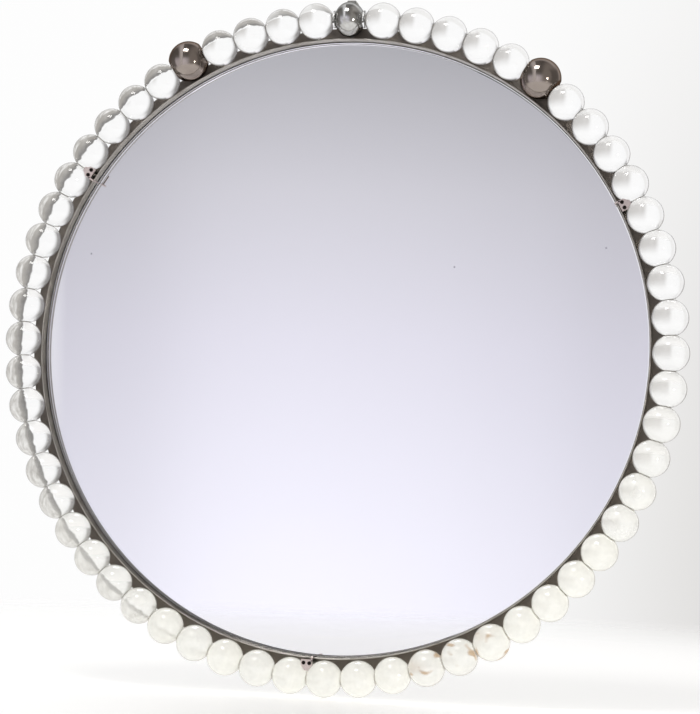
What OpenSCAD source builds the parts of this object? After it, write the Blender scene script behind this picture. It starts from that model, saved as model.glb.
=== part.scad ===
// Round wall mirror framed by a ring of drilled glass balls.
// It hangs upright: +Z is up, the mirror faces -Y and the wall is on the +Y side.
// The origin is the centre of the back plate's rear face.
// Places round the ring are counted clockwise from the top, as seen from the front.

/* [Ball ring] */
// Places round the ring, one for each ball
place_count = 60; // [36:1:84]
// Diameter of a glass ball
ball_d = 25; // [22:0.5:30]
// Length of a ball between its two ground flats
ball_len = 23; // [20:0.25:24]
// Gap between the flats of two neighbouring balls
ball_gap = 0.6; // [0.5:0.1:1.5]
// Diameter of the clear rod that runs through the balls
rod_d = 3; // [2:0.1:4]
// Diameter of the clear washer between two flats
washer_d = 8; // [6:0.5:9]
// Thickness of that washer
washer_t = 0.4; // [0.2:0.1:0.4]

/* [Metal balls] */
// Diameter of the two coupling balls that join the rod's two arcs
coupling_d = 28; // [25:0.5:32]
// Places from the top to the right-hand coupling ball
coupling_right = 6; // [3:1:8]
// Places from the top to the left-hand coupling ball
coupling_left = 5; // [3:1:8]
// Diameter of the grub screws that hold the rod's ends
grub_d = 3; // [2:0.5:4]
// Distance of a grub screw from the middle of its ball
grub_offset = 5.5; // [4:0.5:7]
// Diameter of the oval bead at the top
crown_d = 24; // [20:0.5:27]
// Length of the oval bead along the rod
crown_len = 19.2; // [16:0.2:20]
// Diameter of the glass collars on both sides of it
collar_d = 12; // [8:0.5:14]

/* [Mirror] */
// Thickness of the mirror glass
glass_t = 4; // [3:0.5:5]
// Width of the ground arris on its edges
glass_arris = 0.6; // [0.3:0.1:1]
// Thickness of the silvering with its paint
silver_t = 0.2; // [0.1:0.05:0.3]
// Thickness of the felt under the mirror
felt_t = 1; // [0.5:0.1:2]
// Gap round the edge of the glass
glass_clear = 0.6; // [0.3:0.1:1]

/* [Rim] */
// Thickness of the rim's wall
rim_wall = 1; // [0.8:0.1:2]
// Height of the rim above the back plate
rim_h = 12; // [9:0.5:13]
// Gap between the rim and the balls
rim_gap = 0.6; // [0.4:0.1:2]
// Width of the flange that the rim stands on
rim_flange = 9; // [7:0.5:14]
// Number of rivets in the flange
rim_rivets_n = 12; // [6:1:24]

/* [Back plate] */
// Thickness of the back plate
plate_t = 2; // [1.5:0.25:3]
// Distance from the plate's edge out to the ring circle
plate_inset = 3.6; // [3:0.1:6]
// Radius of the rubber bumpers' circle
bumper_r = 165; // [60:5:175]
// Diameter of a rubber bumper
bumper_d = 18; // [12:1:24]
// Height of a rubber bumper
bumper_h = 8; // [7:0.5:12]

/* [Clips] */
// Width of a clip's plate
clip_w = 7.8; // [6:0.2:8]
// Thickness of a clip's plate
clip_t = 1.2; // [0.8:0.1:2]
// Height of the clip's plate in front of the balls' centres
clip_lift = 5.2; // [4.6:0.1:6]
// Width of the claw that holds the glass
claw_w = 1.6; // [1.2:0.1:2]
// Thickness of the claw
claw_t = 0.8; // [0.6:0.1:1]
// Reach of the claw over the glass
claw_reach = 1.9; // [1:0.1:4]
// Diameter of the clip screws
clip_screw_d = 1.9; // [1.5:0.1:1.9]
// Diameter of their heads
clip_head_d = 2.6; // [2.4:0.1:3]
// Diameter of the tube posts under a clip
post_d = 2.8; // [2.6:0.1:3]

/* [Hanger] */
// Width of the strap behind the top bead
strap_w = 6; // [5.5:0.5:12]
// Thickness of the strap
strap_t = 1.5; // [1:0.1:2]
// Wire diameter of the hanging ring
ring_wire = 3; // [2.5:0.1:4]
// Radius of the hanging ring's curve
ring_bend_r = 15; // [12:0.5:18]
// Height of the ring's pivot above the mirror's centre
ring_height = 182; // [80:1:182]
// Length of the keeper's barrel
barrel_len = 18; // [12:0.5:20]

/* [Hidden] */
$fn = 96;

pitch = 360 / place_count;
half_pitch = pitch / 2;
ring_r = (ball_len + ball_gap) / 2 / sin(half_pitch);
plate_r = ring_r - plate_inset;
seat_gap = 0.1;
ball_z = plate_t + sqrt(pow(ball_d / 2, 2) - pow(plate_inset, 2)) + seat_gap;
cut = 3 * ball_d;
rod_fit = 0.05;
washer_bore = rod_d + 2 * rod_fit;
// the rod is bent to the ring and the bores are straight, so each bore is wider by the rod's bow
rod_bow = ring_r - sqrt(pow(ring_r, 2) - pow(ball_len / 2, 2));
ball_bore = rod_d + rod_bow + 2 * rod_fit;

// rim and mirror, from the balls inwards and from the plate forwards
rim_out_r = ring_r - ball_d / 2 - rim_gap;
rim_in_r = rim_out_r - rim_wall;
rim_top = plate_t + rim_h;
flange_in_r = rim_out_r - rim_flange;
flange_t = felt_t;
felt_side_gap = 0.5;
glass_r = rim_in_r - glass_clear;
silver_z = plate_t + felt_t;
glass_z = silver_z + silver_t;
face_z = glass_z + glass_t;

// coupling balls sit against the same rim and the same plate edge as the glass ones
coupling_place_left = place_count - coupling_left;
coupling_dy = (coupling_d - ball_d) / 2;
coupling_dz = plate_t + seat_gap - ball_z
    + sqrt(pow(coupling_d / 2, 2) - pow(plate_inset + coupling_dy, 2));
rod_end_gap = 2;
rod_end_angle = asin(rod_end_gap / 2 / ring_r);
grub_len = 5;
grub_clear = 0.05;

// the oval bead is an ellipsoid of revolution with its two ends cut flat
crown_flat_d = 10;
crown_half_axis = crown_len / 2 / sqrt(1 - pow(crown_flat_d / crown_d, 2));
collar_gap = 0.1;

// clips stand in the gaps nearest to a sixth, a half and five sixths of the way round
clip_places = [for (k = [0:2]) floor(place_count * (2 * k + 1) / 6) + 0.5];
clip_z = ball_z + clip_lift;
clip_side_gap = 0.25;
clip_tip_half_w = 0.45;
clip_head_h = 0.7;
clip_hole_clear = 0.2;
post_gap = 1.3;
post_y = rim_out_r + post_gap + post_d / 2 - ring_r;
post_x = 2;
claw_gap = 0.15;
clip_inner_y = rim_out_r + 0.3 - ring_r;
ball_x = ring_r * sin(half_pitch);
ball_y = ring_r * cos(half_pitch) - ring_r;
nut_af = 3.4;
nut_h = 1.6;
screw_tail = 2.6;

// rivets and their countersinks
rivet_d = 2.5;
rivet_head_d = 5;
rivet_head_h = 1.1;
rivet_sink_d = 4;
rivet_sink_h = 0.8;
rivet_clear = 0.05;
rim_rivet_r = (flange_in_r + rim_in_r - glass_clear) / 2;

// strap and hanging ring
crown_top = ring_r + crown_d / 2;
strap_gap = 0.7;
strap_top = crown_top + strap_gap;
strap_bottom = rim_in_r - 6;
strap_lip_z = ball_z - 4;
strap_rivet_ys = [strap_bottom + 4, strap_bottom + 12];
ring_fit = 0.08;
barrel_wall = 1.25;
barrel_od = ring_wire + 2 * ring_fit + 2 * barrel_wall;
keeper_t = 1.2;
keeper_w = 16;
keeper_drop = 12;
keeper_rivet_x = 4.5;
keeper_rivet_y = ring_height - 7.5;
ring_z = -(keeper_t + barrel_od / 2 - 0.3);
bumper_taper = 3;
bumper_screw_d = 3;
bumper_recess_d = 8;
bumper_floor = 3;

// the working frame of the face: x to the right, y up, z towards the viewer
module face() {
    rotate([90, 0, 0]) children();
}

// moves to a place on the ring: x runs clockwise, y outwards, z towards the viewer
module at_place(place) {
    rotate([0, 0, -place * pitch]) translate([0, ring_r, ball_z]) children();
}

module around(count, radius) {
    for (i = [0:count - 1]) rotate([0, 0, -(i + 0.5) * 360 / count]) translate([0, radius, 0]) children();
}

// everything beyond the two slanting end planes of one place
module beyond_ends(length) {
    for (side = [-1, 1])
        rotate([0, 0, -side * half_pitch])
            translate([side * (length + cut) / 2, 0, 0]) cube(cut, center = true);
}

module along_rod(d, length) {
    rotate([0, 90, 0]) cylinder(d = d, h = length, center = true);
}

// the straight bore through a ball, set halfway across the rod's bow
module ball_hole() {
    translate([0, -rod_bow / 2, 0]) along_rod(ball_bore, cut);
}

// a sphere whose poles lie on the rod, where the bore takes them away
module rod_sphere(d) {
    rotate([0, -90, 0]) sphere(d = d);
}

module glass_ball() {
    difference() {
        rod_sphere(ball_d);
        beyond_ends(ball_len);
        ball_hole();
    }
}

module ball_run(first, last) {
    color([0.86, 0.9, 0.89, 0.5]) face()
        for (i = [first:last]) at_place(i) glass_ball();
}

module washer_run(first, last) {
    color([0.93, 0.93, 0.9, 0.6]) face()
        for (i = [first:last]) at_place(i + 0.5) difference() {
            along_rod(washer_d, washer_t);
            along_rod(washer_bore, cut);
        }
}

module rod_arc(from_place, to_place) {
    color([0.9, 0.92, 0.92, 0.6]) face() translate([0, 0, ball_z])
        rotate([0, 0, 90 - to_place * pitch + rod_end_angle])
            rotate_extrude(angle = (to_place - from_place) * pitch - 2 * rod_end_angle, $fn = 180)
                translate([ring_r, 0]) circle(d = rod_d, $fn = 32);
}

module coupling_ball(place) {
    color([0.52, 0.48, 0.45]) face() at_place(place) difference() {
        translate([0, coupling_dy, coupling_dz]) rod_sphere(coupling_d);
        beyond_ends(ball_len);
        ball_hole();
        for (side = [-1, 1]) translate([side * grub_offset, 0, -cut])
            cylinder(d = grub_d, h = cut);
    }
}

module grub_pair(place) {
    for (side = [-1, 1]) at_place(place)
        translate([side * grub_offset, 0, -rod_d / 2 - grub_clear - grub_len])
            cylinder(d = grub_d - 2 * grub_clear, h = grub_len);
}

module crown_bead() {
    color([0.72, 0.72, 0.72]) face() at_place(0) difference() {
        rotate([0, 90, 0]) rotate_extrude() polygon(concat(
            [[0, crown_len / 2], [0, -crown_len / 2]],
            [for (k = [-16:16]) let (h = k * crown_len / 32)
                [crown_d / 2 * sqrt(1 - pow(h / crown_half_axis, 2)), h]]));
        ball_hole();
    }
}

module crown_collars() {
    color([0.86, 0.9, 0.89, 0.5]) face() at_place(0) for (side = [-1, 1]) difference() {
        translate([side * (crown_len / 2 + collar_gap + ball_len / 4), 0, 0])
            along_rod(collar_d, ball_len / 2);
        beyond_ends(ball_len);
        ball_hole();
    }
}

module back_plate() {
    color([0.36, 0.34, 0.32]) face() difference() {
        cylinder(r = plate_r, h = plate_t, $fn = 240);
        around(rim_rivets_n, rim_rivet_r) through_hole(rivet_d + 2 * rivet_clear);
        for (p = clip_places) clip_screw_spots(p) through_hole(clip_screw_d + clip_hole_clear);
        for (y = strap_rivet_ys) translate([0, y, 0]) sunk_hole();
        for (x = [-1, 1]) translate([x * keeper_rivet_x, keeper_rivet_y, 0]) sunk_hole();
        around(3, bumper_r) through_hole(bumper_screw_d + clip_hole_clear);
    }
}

module through_hole(d) {
    translate([0, 0, -cut]) cylinder(d = d, h = 2 * cut, $fn = 32);
}

// a hole in the back plate with its countersink on the mirror's side
module sunk_hole() {
    through_hole(rivet_d + 2 * rivet_clear);
    translate([0, 0, plate_t - rivet_sink_h])
        cylinder(d1 = rivet_d + 2 * rivet_clear, d2 = rivet_sink_d + 2 * rivet_clear, h = rivet_sink_h);
}

// a rivet set from z = top down to the outer face at z = bottom, flush at the top
module sunk_rivet(top, bottom) {
    translate([0, 0, bottom]) cylinder(d = rivet_d, h = top - bottom, $fn = 32);
    translate([0, 0, top - rivet_sink_h]) cylinder(d1 = rivet_d, d2 = rivet_sink_d, h = rivet_sink_h);
    translate([0, 0, bottom - rivet_head_h])
        cylinder(d1 = rivet_head_d - rivet_head_h, d2 = rivet_head_d, h = rivet_head_h);
}

module mirror_rim() {
    color([0.6, 0.59, 0.57]) face() difference() {
        rotate_extrude($fn = 240) {
            translate([flange_in_r, plate_t]) square([rim_flange, flange_t]);
            translate([rim_in_r, plate_t]) square([rim_wall, rim_h - rim_wall / 2]);
            translate([rim_in_r + rim_wall / 2, rim_top - rim_wall / 2]) circle(d = rim_wall, $fn = 32);
        }
        around(rim_rivets_n, rim_rivet_r) {
            through_hole(rivet_d + 2 * rivet_clear);
            translate([0, 0, plate_t + flange_t - rivet_sink_h])
                cylinder(d1 = rivet_d + 2 * rivet_clear, d2 = rivet_sink_d + 2 * rivet_clear,
                    h = rivet_sink_h);
        }
    }
}

module rim_rivets() {
    color([0.62, 0.6, 0.57]) face()
        around(rim_rivets_n, rim_rivet_r) sunk_rivet(plate_t + flange_t, 0);
}

module felt_pad() {
    color([0.25, 0.3, 0.27]) face() translate([0, 0, plate_t])
        cylinder(r = flange_in_r - felt_side_gap, h = felt_t, $fn = 240);
}

module silvering() {
    color([0.85, 0.85, 0.88]) face() translate([0, 0, silver_z])
        cylinder(r = glass_r - glass_arris, h = silver_t, $fn = 240);
}

module mirror_glass() {
    color([0.82, 0.84, 0.87, 0.6]) face() rotate_extrude($fn = 240) polygon([
        [0, glass_z], [glass_r - glass_arris, glass_z], [glass_r, glass_z + glass_arris],
        [glass_r, face_z - glass_arris], [glass_r - glass_arris, face_z], [0, face_z]]);
}

// half the room between two balls at the clip's rear face, at y outwards from the ring circle
function clip_room(y) =
    ball_x - sqrt(max(0, pow(ball_d / 2, 2) - pow(y - ball_y, 2) - pow(clip_lift, 2))) - clip_side_gap;
clip_outline_ys = [for (k = [0:40]) let (y = clip_inner_y + k * 0.25)
    if (clip_room(y) > clip_tip_half_w && y < ball_y) y];
function clip_half_w(y) = min(clip_w / 2, clip_room(y));

module clip(place) {
    claw_in_y = glass_r - claw_reach - ring_r;
    color([0.72, 0.67, 0.65]) face() at_place(place) difference() {
        union() {
            translate([0, 0, clip_lift]) linear_extrude(clip_t) polygon(concat(
                [for (y = clip_outline_ys) [clip_half_w(y), y]],
                [for (i = [len(clip_outline_ys) - 1:-1:0])
                    [-clip_half_w(clip_outline_ys[i]), clip_outline_ys[i]]]));
            translate([-clip_w / 2, claw_in_y, clip_lift])
                cube([claw_w, clip_inner_y - claw_in_y + 1, clip_t]);
            translate([-clip_w / 2, claw_in_y, face_z + claw_gap - ball_z])
                cube([claw_w, claw_t, clip_z - face_z - claw_gap + clip_t]);
        }
        for (x = [-1, 1]) translate([x * post_x, post_y, 0])
            through_hole(clip_screw_d + clip_hole_clear);
    }
}

// moves to the two screws of a clip, with z counted from the plate's rear face
module clip_screw_spots(place) {
    for (x = [-1, 1]) at_place(place) translate([x * post_x, post_y, -ball_z]) children();
}

module clip_posts() {
    color([0.5, 0.47, 0.44]) face() for (p = clip_places) clip_screw_spots(p) difference() {
        translate([0, 0, plate_t]) cylinder(d = post_d, h = clip_z - plate_t, $fn = 32);
        through_hole(clip_screw_d + clip_hole_clear);
    }
}

module clip_screws() {
    color([0.2, 0.17, 0.16]) face() for (p = clip_places) clip_screw_spots(p) {
        translate([0, 0, -screw_tail])
            cylinder(d = clip_screw_d, h = clip_z + clip_t + screw_tail, $fn = 32);
        translate([0, 0, clip_z + clip_t]) cylinder(d = clip_head_d, h = clip_head_h, $fn = 32);
    }
}

module clip_nuts() {
    color([0.66, 0.62, 0.55]) face() for (p = clip_places) clip_screw_spots(p) difference() {
        translate([0, 0, -nut_h]) rotate([0, 0, 30]) cylinder(d = nut_af / cos(30), h = nut_h, $fn = 6);
        through_hole(clip_screw_d + 2 * grub_clear);
    }
}

// a strip bent forwards over the top bead
module hanger_strap() {
    color([0.5, 0.48, 0.46]) face() difference() {
        union() {
            translate([-strap_w / 2, strap_bottom, -strap_t])
                cube([strap_w, strap_top - strap_bottom, strap_t]);
            translate([-strap_w / 2, strap_top, 0]) cube([strap_w, strap_t, strap_lip_z]);
            translate([-strap_w / 2, strap_top, 0]) intersection() {
                rotate([0, 90, 0]) cylinder(r = strap_t, h = strap_w);
                translate([0, 0, -strap_t]) cube([strap_w, strap_t, strap_t]);
            }
        }
        for (y = strap_rivet_ys) translate([0, y, 0]) through_hole(rivet_d + 2 * rivet_clear);
    }
}

module strap_rivets() {
    color([0.62, 0.6, 0.57]) face()
        for (y = strap_rivet_ys) translate([0, y, 0]) sunk_rivet(plate_t, -strap_t);
}

module ring_keeper() {
    color([0.62, 0.6, 0.56]) face() difference() {
        union() {
            translate([-keeper_w / 2, ring_height - keeper_drop, -keeper_t])
                cube([keeper_w, keeper_drop, keeper_t]);
            translate([0, ring_height, ring_z]) along_rod(barrel_od, barrel_len);
        }
        translate([0, ring_height, ring_z]) along_rod(ring_wire + 2 * ring_fit, cut);
        for (x = [-1, 1]) translate([x * keeper_rivet_x, keeper_rivet_y, 0])
            through_hole(rivet_d + 2 * rivet_clear);
    }
}

module keeper_rivets() {
    color([0.62, 0.6, 0.57]) face() for (x = [-1, 1])
        translate([x * keeper_rivet_x, keeper_rivet_y, 0]) sunk_rivet(plate_t, -keeper_t);
}

// a half-round ring on a straight bar, hanging down
module hanger_ring() {
    color([0.66, 0.64, 0.6]) face() translate([0, ring_height, ring_z]) {
        along_rod(ring_wire, 2 * ring_bend_r);
        rotate([0, 0, 180]) rotate_extrude(angle = 180)
            translate([ring_bend_r, 0]) circle(d = ring_wire, $fn = 32);
        for (x = [-1, 1]) translate([x * ring_bend_r, 0, 0]) sphere(d = ring_wire, $fn = 32);
    }
}

module bumpers() {
    color([0.12, 0.12, 0.12]) face() around(3, bumper_r) difference() {
        translate([0, 0, -bumper_h])
            cylinder(d1 = bumper_d - bumper_taper, d2 = bumper_d, h = bumper_h);
        translate([0, 0, -bumper_h - cut]) cylinder(d = bumper_recess_d, h = cut + bumper_h - bumper_floor);
        through_hole(bumper_screw_d + clip_hole_clear);
    }
}

module bumper_screws() {
    color([0.62, 0.6, 0.57]) face() around(3, bumper_r) {
        translate([0, 0, -bumper_floor]) cylinder(d = bumper_screw_d, h = bumper_floor + plate_t, $fn = 32);
        translate([0, 0, -bumper_floor - 2]) cylinder(d = bumper_recess_d - 2, h = 2);
    }
}

lower_first = coupling_right + 1;
lower_last = coupling_place_left - 1;
mid_right = floor((clip_places[0] + clip_places[1]) / 2);
mid_left = floor((clip_places[1] + clip_places[2]) / 2);

back_plate();
mirror_rim();
rim_rivets();
felt_pad();
silvering();
mirror_glass();
rod_arc(-coupling_left, coupling_right);  // rod_upper
rod_arc(coupling_right, coupling_place_left);  // rod_lower
ball_run(1, coupling_right - 1);  // balls_top_right
ball_run(lower_first, floor(clip_places[0]));  // balls_upper_right
ball_run(ceil(clip_places[0]), mid_right);  // balls_right
ball_run(mid_right + 1, floor(clip_places[1]));  // balls_lower_right
ball_run(ceil(clip_places[1]), mid_left);  // balls_lower_left
ball_run(mid_left + 1, floor(clip_places[2]));  // balls_left
ball_run(ceil(clip_places[2]), lower_last);  // balls_upper_left
ball_run(coupling_place_left + 1, place_count - 1);  // balls_top_left
washer_run(0, floor(clip_places[1]) - 1);  // washers_right
washer_run(floor(clip_places[1]), place_count - 1);  // washers_left
coupling_ball(coupling_right);  // coupling_ball_right
coupling_ball(coupling_place_left);  // coupling_ball_left
color([0.25, 0.24, 0.23]) face() { grub_pair(coupling_right); grub_pair(coupling_place_left); }  // grub_screws
crown_bead();
crown_collars();
clip(clip_places[0]);  // clip_right
clip(clip_places[1]);  // clip_bottom
clip(clip_places[2]);  // clip_left
clip_posts();
clip_screws();
clip_nuts();
hanger_strap();
strap_rivets();
ring_keeper();
keeper_rivets();
hanger_ring();
bumpers();
bumper_screws();
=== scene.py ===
import math

import bmesh
import bpy
from mathutils import Matrix, Vector


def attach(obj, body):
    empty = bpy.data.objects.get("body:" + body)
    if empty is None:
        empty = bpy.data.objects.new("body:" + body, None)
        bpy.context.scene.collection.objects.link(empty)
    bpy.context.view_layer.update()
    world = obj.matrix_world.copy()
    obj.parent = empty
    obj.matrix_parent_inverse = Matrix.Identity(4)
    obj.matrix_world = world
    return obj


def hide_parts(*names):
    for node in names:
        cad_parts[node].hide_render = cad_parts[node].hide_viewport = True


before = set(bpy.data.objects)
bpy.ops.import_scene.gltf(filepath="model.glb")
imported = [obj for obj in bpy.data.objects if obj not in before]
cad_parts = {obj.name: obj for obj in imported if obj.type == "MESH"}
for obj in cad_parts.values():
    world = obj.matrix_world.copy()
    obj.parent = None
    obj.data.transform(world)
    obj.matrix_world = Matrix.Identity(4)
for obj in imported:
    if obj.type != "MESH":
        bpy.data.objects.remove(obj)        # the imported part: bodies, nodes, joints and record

scene = bpy.context.scene
scene.view_settings.view_transform = "Standard"
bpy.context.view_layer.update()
mm = 0.001
tiny = 1e-7             # lengths in metres below which two points count as one
weldReach = 1e-6

ring = {
    "places": 60,
    "ballDiameter": 25 * mm,
    "ballLength": 23 * mm,       # between a ball's two flats
    "ballGap": 0.6 * mm,         # between the flats of two neighbours
    "plateThickness": 2 * mm,
    "plateInset": 3.6 * mm,      # from the plate's edge out to the ring circle
    "seatGap": 0.1 * mm,         # under each ball
    "coupling": {"right": 6, "left": 55},
    "clips": [10.5, 30.5, 50.5],
}
halfPitch = math.pi / ring["places"]
ringRadius = (ring["ballLength"] + ring["ballGap"]) / 2 / math.sin(halfPitch)
ballRise = math.sqrt((ring["ballDiameter"] / 2) ** 2 - ring["plateInset"] ** 2)
ballHeight = ring["plateThickness"] + ballRise + ring["seatGap"]

# the face is modelled flat: x to the right, y up, z towards the viewer from the plate's rear face
standUp = Matrix.Rotation(math.radians(90), 4, "X")


def linearColor(code, alpha=1.0):
    channels = [int(code[i:i + 2], 16) / 255 for i in (1, 3, 5)]
    return [c / 12.92 if c <= 0.04045 else ((c + 0.055) / 1.055) ** 2.4 for c in channels] + [alpha]


def addNode(tree, kind, settings=None, inputs=None):
    node = tree.nodes.new(kind)
    for key, value in (settings or {}).items():
        setattr(node, key, value)
    for key, value in (inputs or {}).items():
        if isinstance(value, bpy.types.NodeSocket):
            tree.links.new(value, node.inputs[key])
        else:
            node.inputs[key].default_value = value
    return node


def newMaterial(name, color, roughness, metallic=0.0):
    material = bpy.data.materials.new(name)
    material.use_nodes = True
    tree = material.node_tree
    shader = tree.nodes["Principled BSDF"]
    shader.inputs["Base Color"].default_value = linearColor(color)
    shader.inputs["Roughness"].default_value = roughness
    shader.inputs["Metallic"].default_value = metallic
    place = addNode(tree, "ShaderNodeTexCoord").outputs["Object"]
    return material, tree, shader, place


def makeClear(shader, share, index):
    shader.inputs["Transmission Weight"].default_value = share
    shader.inputs["IOR"].default_value = index


# noise whose blobs are about size metres across
def noiseAt(tree, place, size, detail=3.0, stretch=(1, 1, 1)):
    scaled = addNode(tree, "ShaderNodeMapping", {}, {"Vector": place, "Scale": stretch})
    return addNode(tree, "ShaderNodeTexNoise", {}, {
        "Vector": scaled.outputs["Vector"], "Scale": 1 / size, "Detail": detail}).outputs["Fac"]


# remaps a value from one span to another, held at the ends
def spanned(tree, value, low, high, toLow, toHigh, smooth=False):
    style = {"interpolation_type": "SMOOTHSTEP" if smooth else "LINEAR"}
    limits = {"Value": value, "From Min": low, "From Max": high, "To Min": toLow, "To Max": toHigh}
    return addNode(tree, "ShaderNodeMapRange", style, limits).outputs["Result"]


def mathNode(tree, operation, first, second):
    return addNode(tree, "ShaderNodeMath", {"operation": operation}, {0: first, 1: second}).outputs[0]


# the mix node's color sockets go by number, because its other kinds use the same names
mixInputs = (6, 7)
mixOutput = 2


def mixedColor(tree, factor, first, second):
    node = addNode(tree, "ShaderNodeMix", {"data_type": "RGBA"}, {"Factor": factor})
    for slotIndex, value in zip(mixInputs, (first, second)):
        if isinstance(value, bpy.types.NodeSocket):
            tree.links.new(value, node.inputs[slotIndex])
        else:
            node.inputs[slotIndex].default_value = value
    return node.outputs[mixOutput]


# a base color that runs from one shade to the other with the factor
def shadeBetween(tree, shader, factor, first, second):
    blended = mixedColor(tree, factor, linearColor(first), linearColor(second))
    tree.links.new(blended, shader.inputs["Base Color"])


def roughBetween(tree, shader, noise, least, most, low=0.3, high=0.7):
    tree.links.new(spanned(tree, noise, low, high, least, most), shader.inputs["Roughness"])


def addBump(tree, shader, height, depth, strength=1.0):
    bump = addNode(tree, "ShaderNodeBump", {}, {"Height": height, "Distance": depth, "Strength": strength})
    tree.links.new(bump.outputs["Normal"], shader.inputs["Normal"])


# a mesh made by a function that fills an empty shape, with its faces turned outwards
def meshFrom(build, name):
    shape = bmesh.new()
    build(shape)
    if shape.calc_volume(signed=True) < 0:
        bmesh.ops.reverse_faces(shape, faces=shape.faces)
    mesh = bpy.data.meshes.new(name)
    shape.to_mesh(mesh)
    shape.free()
    return mesh


# turns (radius, height) points about z; a radius of 0 closes the shape in a pole
def turned(shape, profile, steps, closed=False):
    rings = []
    for radius, height in profile:
        if radius == 0:
            rings.append([shape.verts.new((0, 0, height))])
            continue
        angles = [2 * math.pi * k / steps for k in range(steps)]
        rings.append([shape.verts.new((radius * math.cos(angle), radius * math.sin(angle), height))
                      for angle in angles])
    pairs = list(zip(rings, rings[1:] + rings[:1])) if closed else list(zip(rings, rings[1:]))
    for low, high in pairs:
        for k in range(steps):
            after = (k + 1) % steps
            if len(low) == 1 and len(high) == 1:
                continue
            if len(low) == 1:
                shape.faces.new((low[0], high[after], high[k]))
            elif len(high) == 1:
                shape.faces.new((low[k], low[after], high[0]))
            else:
                shape.faces.new((low[k], low[after], high[after], high[k]))
    bmesh.ops.recalc_face_normals(shape, faces=shape.faces)


# marks edges sharper than the angle, so that smooth faces keep crisp corners
def sharpen(shape, degrees=35):
    for edge in shape.edges:
        if len(edge.link_faces) == 2 and edge.calc_face_angle(0) > math.radians(degrees):
            edge.smooth = False
    for face in shape.faces:
        face.smooth = True


def turnedMesh(name, profile, steps, closed=False, turn=None, degrees=35):
    def build(shape):
        turned(shape, profile, steps, closed)
        if turn is not None:
            bmesh.ops.transform(shape, matrix=turn, verts=shape.verts)
        sharpen(shape, degrees)
    return meshFrom(build, name)


# points on an arc about (x, y), from one direction in degrees to another
def arcPoints(x, y, radius, start, end, count):
    angles = [math.radians(start + (end - start) * k / count) for k in range(count + 1)]
    return [(x + radius * math.cos(angle), y + radius * math.sin(angle)) for angle in angles]


# the profile of a plain rod, to be turned about z
def rodPoints(radius, low, high):
    return [(0, low), (radius, low), (radius, high), (0, high)]


# a flat outline given a thickness, with its edges rounded
def cutSheet(shape, outline, low, high, rounding):
    base = shape.faces.new([shape.verts.new((x, y, low)) for x, y in outline])
    moved = bmesh.ops.extrude_face_region(shape, geom=[base])
    lifted = [v for v in moved["geom"] if isinstance(v, bmesh.types.BMVert)]
    bmesh.ops.translate(shape, vec=(0, 0, high - low), verts=lifted)
    bmesh.ops.recalc_face_normals(shape, faces=shape.faces)
    edges = [e for e in shape.edges if abs(e.verts[0].co.z - e.verts[1].co.z) < tiny]
    bmesh.ops.bevel(shape, geom=edges, offset=rounding, segments=2, affect="EDGES", clamp_overlap=True)


# a strip of sheet that follows a path in the y-z plane, width along x
def bentStrip(shape, path, middle, width, thickness):
    sections = []
    for k, point in enumerate(path):
        before = path[max(0, k - 1)]
        after = path[min(len(path) - 1, k + 1)]
        along = (Vector(after) - Vector(before)).normalized()
        across = Vector((-along.y, along.x))
        corners = []
        for side, lift in ((-1, -1), (1, -1), (1, 1), (-1, 1)):
            at = Vector(point) + across * lift * thickness / 2
            corners.append(shape.verts.new((middle + side * width / 2, at.x, at.y)))
        sections.append(corners)
    for low, high in zip(sections, sections[1:]):
        for k in range(len(low)):
            after = (k + 1) % len(low)
            shape.faces.new((low[k], low[after], high[after], high[k]))
    shape.faces.new(sections[0])
    shape.faces.new(sections[-1])
    bmesh.ops.recalc_face_normals(shape, faces=shape.faces)


# a round bar along a closed path of points
def roundLoop(shape, path, radius, steps):
    count = len(path)
    rings = []
    for k in range(count):
        along = (path[(k + 1) % count] - path[k - 1]).normalized()
        side = Vector((0, 0, 1))
        outer = along.cross(side)
        angles = [2 * math.pi * j / steps for j in range(steps)]
        rings.append([shape.verts.new(path[k] + (outer * math.cos(angle) + side * math.sin(angle)) * radius)
                      for angle in angles])
    for k in range(count):
        low, high = rings[k], rings[(k + 1) % count]
        for j in range(steps):
            after = (j + 1) % steps
            shape.faces.new((low[j], low[after], high[after], high[j]))
    bmesh.ops.recalc_face_normals(shape, faces=shape.faces)
    for face in shape.faces:
        face.smooth = True


# cuts one mesh out of another, then welds and crisps the seams
def cutOut(mesh, tool):
    body = bpy.data.objects.new("cutBody", mesh)
    knife = bpy.data.objects.new("cutTool", tool)
    for piece in (body, knife):
        scene.collection.objects.link(piece)
    modifier = body.modifiers.new("cut", "BOOLEAN")
    modifier.operation = "DIFFERENCE"
    modifier.solver = "EXACT"
    modifier.object = knife
    graph = bpy.context.evaluated_depsgraph_get()
    result = bpy.data.meshes.new_from_object(body.evaluated_get(graph))
    for piece in (body, knife):
        bpy.data.objects.remove(piece)
    shape = bmesh.new()
    shape.from_mesh(result)
    bmesh.ops.remove_doubles(shape, verts=shape.verts, dist=weldReach)
    bmesh.ops.dissolve_degenerate(shape, edges=shape.edges, dist=tiny)
    sharpen(shape, degrees=30)
    shape.to_mesh(result)
    shape.free()
    return result


def joined(name, meshes):
    shape = bmesh.new()
    for mesh in meshes:
        shape.from_mesh(mesh)
    result = bpy.data.meshes.new(name)
    shape.to_mesh(result)
    shape.free()
    return result


def placedCopy(mesh, x, y, turn=0.0):
    twin = mesh.copy()
    twin.transform(Matrix.Translation((x, y, 0)) @ Matrix.Rotation(math.radians(turn), 4, "Z"))
    return twin


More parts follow.
